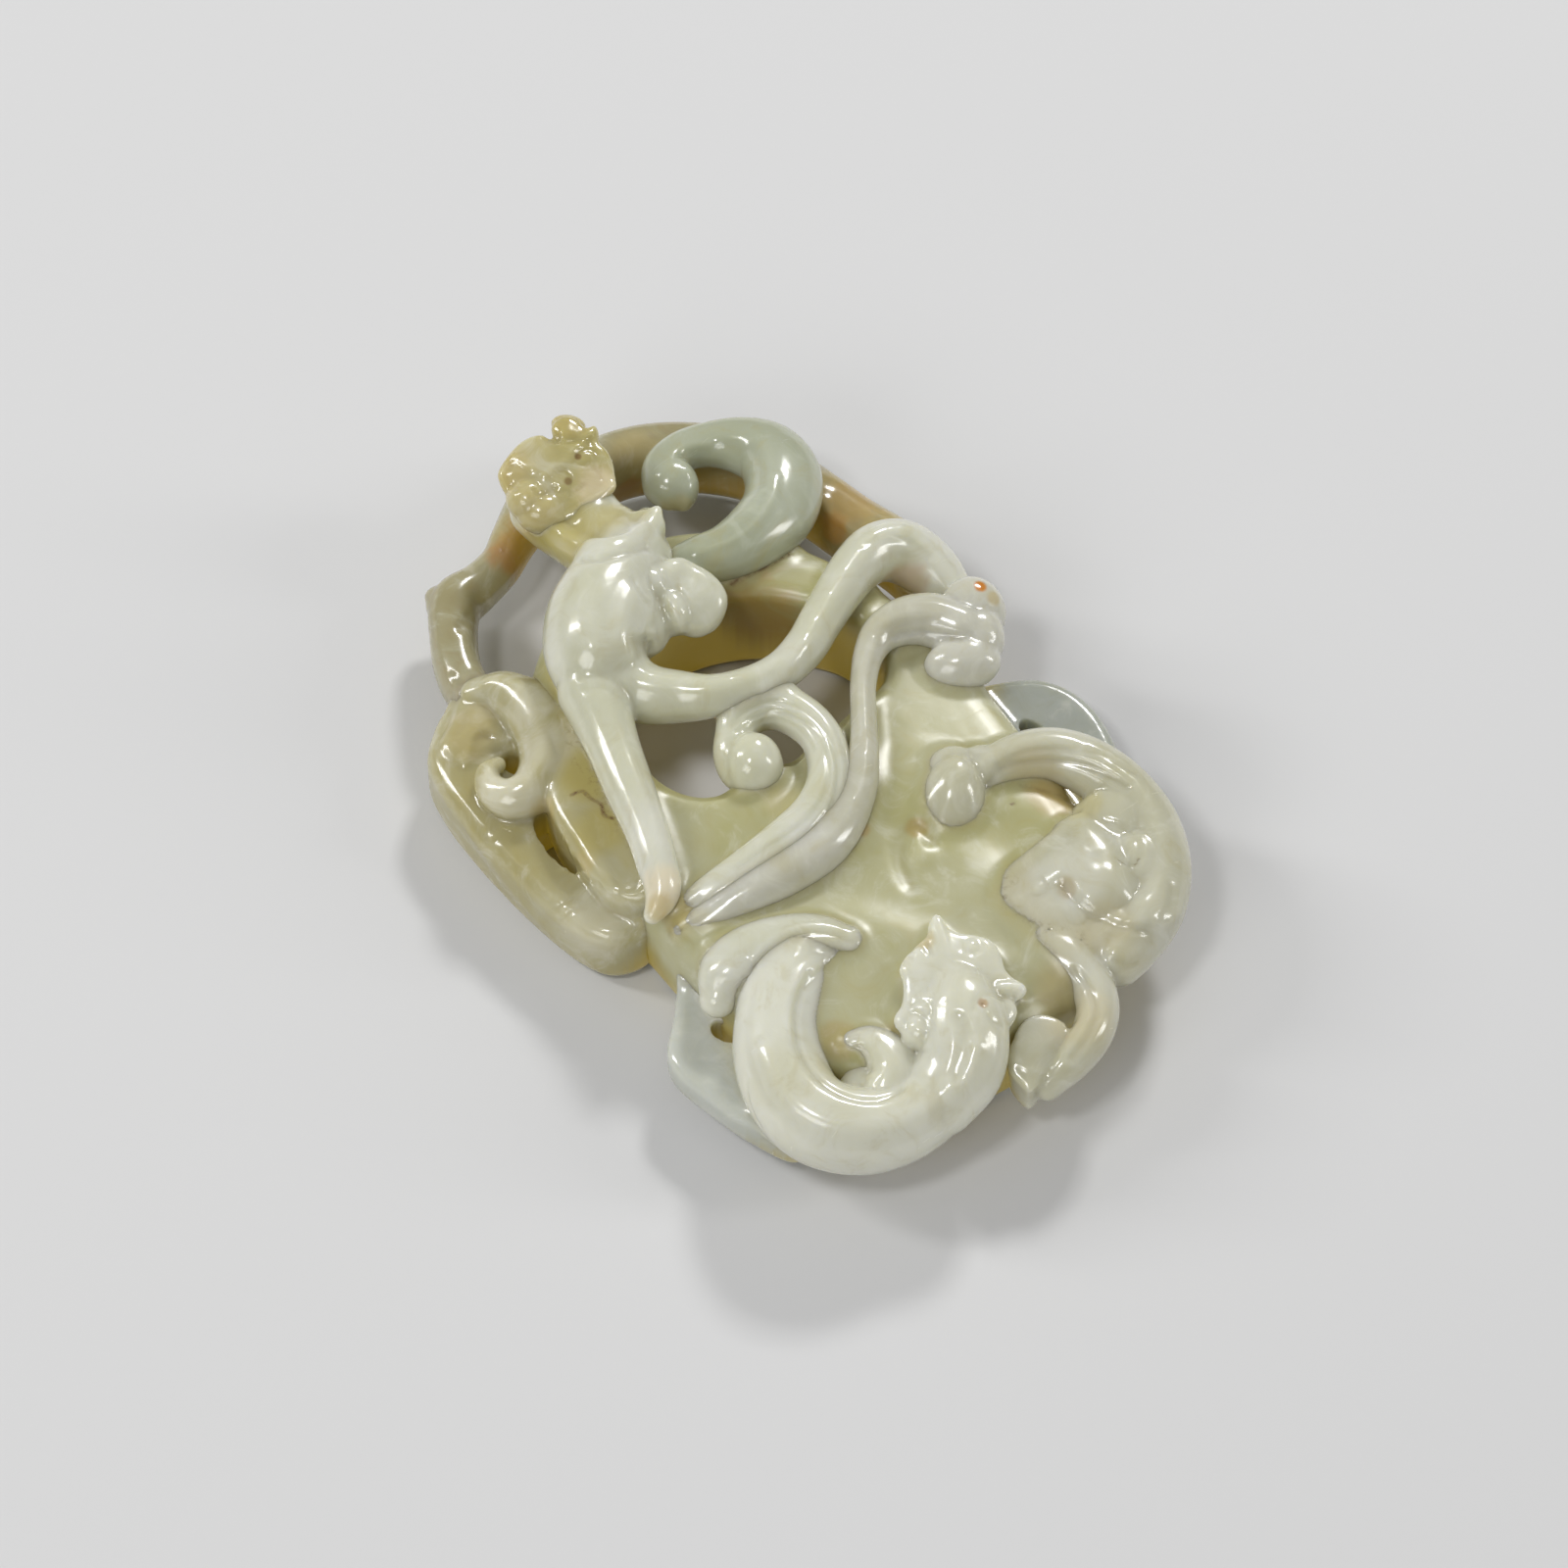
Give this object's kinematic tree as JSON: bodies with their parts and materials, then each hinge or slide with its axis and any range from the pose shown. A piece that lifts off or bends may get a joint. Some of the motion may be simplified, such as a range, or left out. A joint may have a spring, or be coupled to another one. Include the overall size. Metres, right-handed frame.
{
  "type": "carved jade belt plaque",
  "caption": "Openwork jade belt plaque: a domed plate with a large bore, carved in high relief with hornless dragons, scrolls and a branch.",
  "frame": {"origin": "middle of the outer bounds, on the flat back that the stone rests on", "axes": "+X along the length towards the end with the coiled dragon, +Y across towards the far side with the S-shaped tail's end, +Z out of the carved face"},
  "size_m": [0.0766, 0.0494, 0.0174],
  "materials": {
    "celadon_jade": "polished, waxy gloss",
    "honey_jade": "polished, waxy gloss",
    "russet_skin": "polished, waxy gloss",
    "pale_jade": "polished, waxy gloss"
  },
  "bodies": {
    "root": {"pierced_plate": "celadon_jade", "climbing_dragon_body": "celadon_jade", "climbing_dragon_head": "honey_jade", "climbing_dragon_foreleg": "celadon_jade", "long_s_tail": "celadon_jade", "mane_curl": "celadon_jade", "ball_curl": "celadon_jade", "fungus_scroll": "celadon_jade", "coiled_dragon_head": "celadon_jade", "coiled_dragon_body": "celadon_jade", "coil_hook": "celadon_jade", "coil_lobe": "celadon_jade", "far_dragon_head": "celadon_jade", "far_dragon_body": "celadon_jade", "far_dragon_tail": "celadon_jade", "cloud_lobe": "celadon_jade", "scroll_bracket": "celadon_jade", "outer_branch": "russet_skin", "upper_side_flange": "pale_jade", "lower_side_flange": "pale_jade"}
  },
  "joints": []
}
